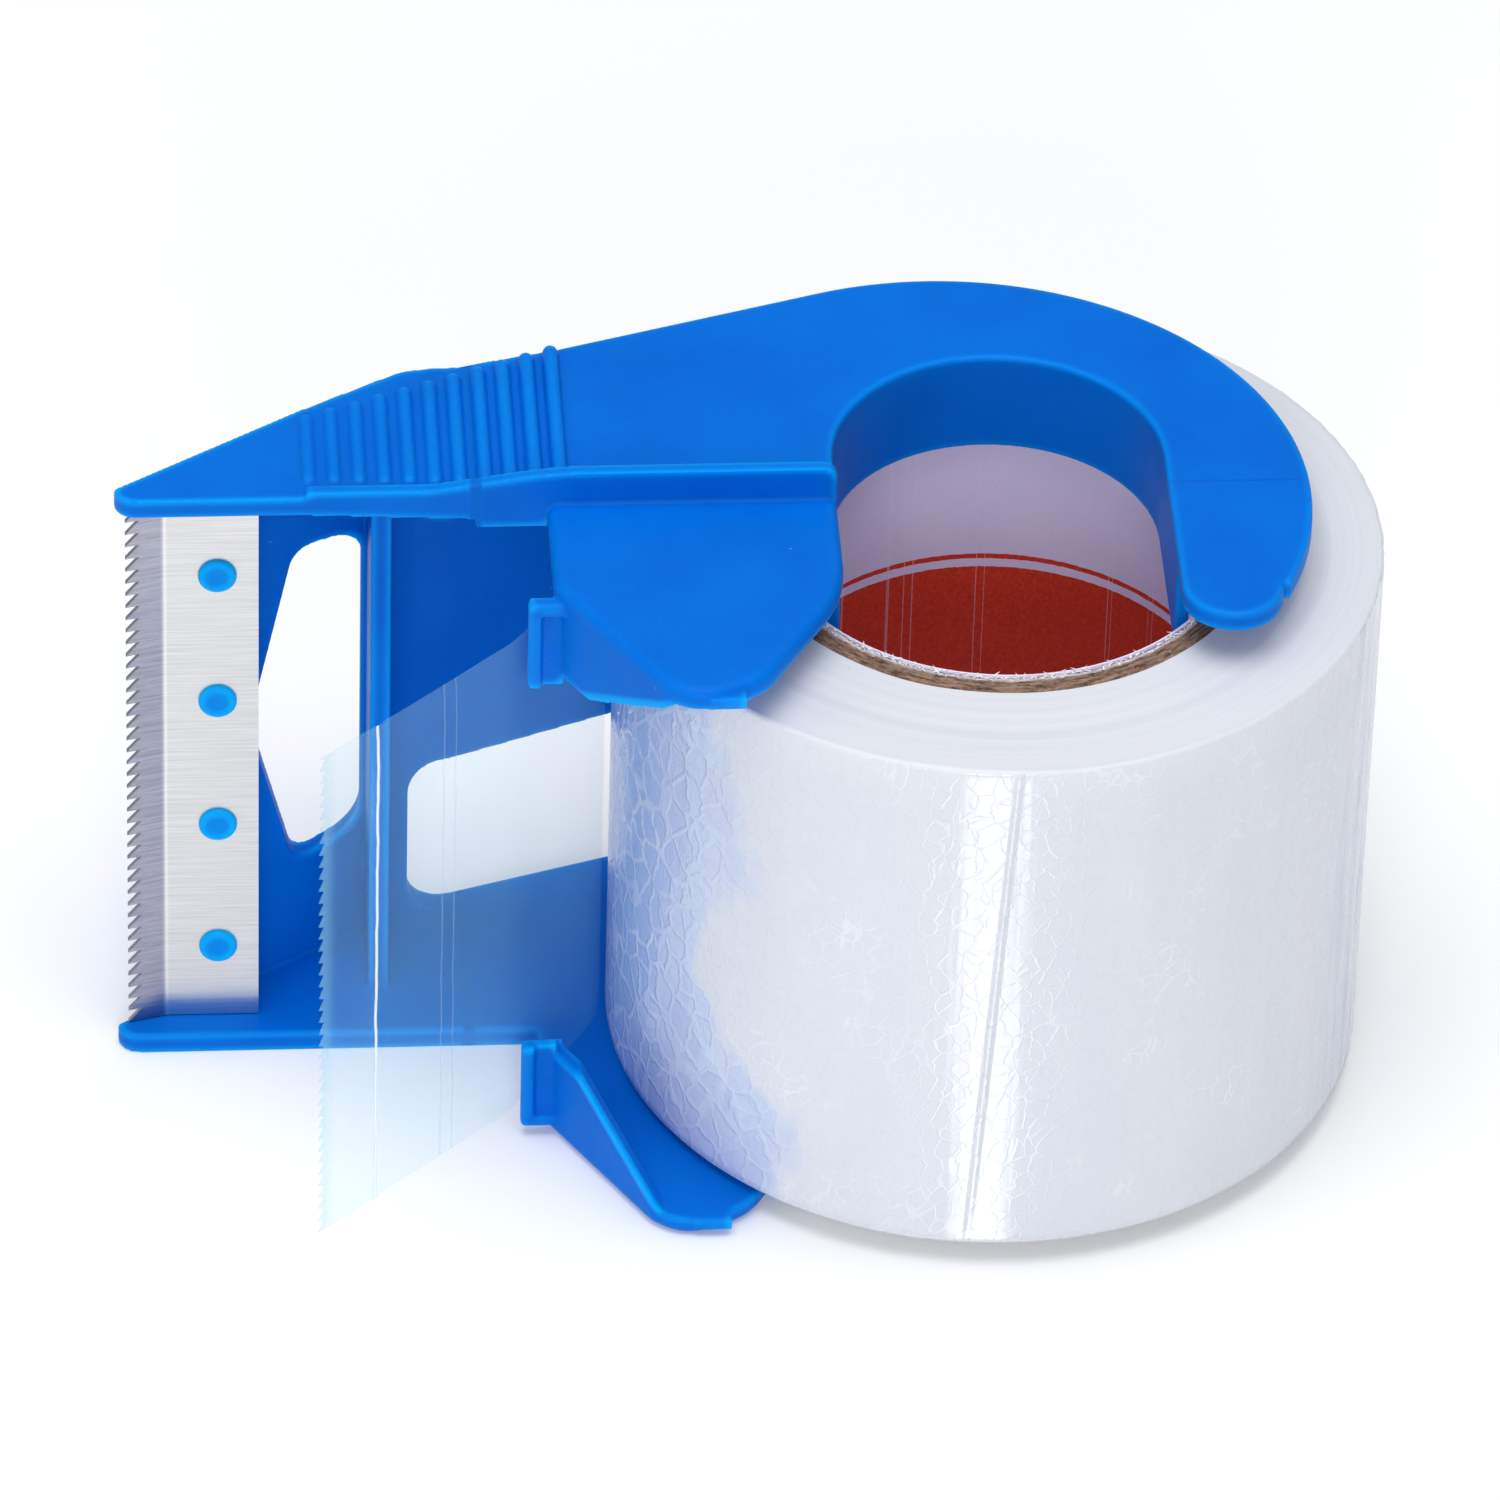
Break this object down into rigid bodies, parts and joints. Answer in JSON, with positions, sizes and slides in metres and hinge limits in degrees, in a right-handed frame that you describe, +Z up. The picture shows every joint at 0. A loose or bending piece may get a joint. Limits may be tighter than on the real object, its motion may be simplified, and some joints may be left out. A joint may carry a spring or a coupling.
{
  "type": "tape dispenser",
  "caption": "Hand-held parcel tape dispenser: toothed steel cutter, springy side arms with hubs inside the core of a roll of clear tape, and lugs that keep the tape's free end ready.",
  "frame": {"origin": "middle of the base of the part's bounding box, on the surface that it lies on", "axes": "+X along the body from the cutting nose to the hook, +Y from the open front to the closed back, +Z up along the roll's axis"},
  "size_m": [0.1048, 0.0636, 0.0605],
  "materials": {
    "blue_plastic": "satin moulded polypropylene",
    "blade_steel": "brushed across the strip",
    "core_board": "raw wound board",
    "liner_paper": "smooth printed paper",
    "wound_film": "glossy clear film in many turns",
    "clear_film": "glossy clear film"
  },
  "bodies": {
    "frame": {"upper_nose_plate": "blue_plastic", "lower_nose_plate": "blue_plastic", "back_wall": "blue_plastic", "spine_band": "blue_plastic", "wall_rib": "blue_plastic", "blade_bar": "blue_plastic", "blade_posts": "blue_plastic", "cutter_blade": "blade_steel", "tape_leader": "clear_film"},
    "upper_arm": {"upper_side_plate": "blue_plastic", "upper_hook": "blue_plastic", "upper_hub": "blue_plastic", "upper_tongue": "blue_plastic", "upper_tape_guide": "blue_plastic"},
    "lower_arm": {"lower_side_plate": "blue_plastic", "lower_hook": "blue_plastic", "lower_hub": "blue_plastic", "lower_tongue": "blue_plastic", "lower_tape_guide": "blue_plastic"},
    "roll": {"tape_core": "core_board", "core_liner": "liner_paper", "tape_roll": "wound_film"}
  },
  "joints": [
    {"name": "roll_spin", "type": "hinge", "parent": "frame", "child": "roll", "pos_m": [0.02057, 0, 0.0273], "axis": [0, 0, 1], "continuous": true},
    {"name": "upper_arm_flex", "type": "hinge", "parent": "frame", "child": "upper_arm", "pos_m": [-0.02283, 0, 0.0596], "axis": [0, -1, 0], "range_deg": [0, 10], "stiffness_Nm_per_rad": 0.45, "springref_deg": -1.72},
    {"name": "lower_arm_flex", "type": "hinge", "parent": "frame", "child": "lower_arm", "pos_m": [-0.02283, 0, 0], "axis": [0, 1, 0], "range_deg": [0, 10], "stiffness_Nm_per_rad": 0.45, "springref_deg": -1.72}
  ]
}
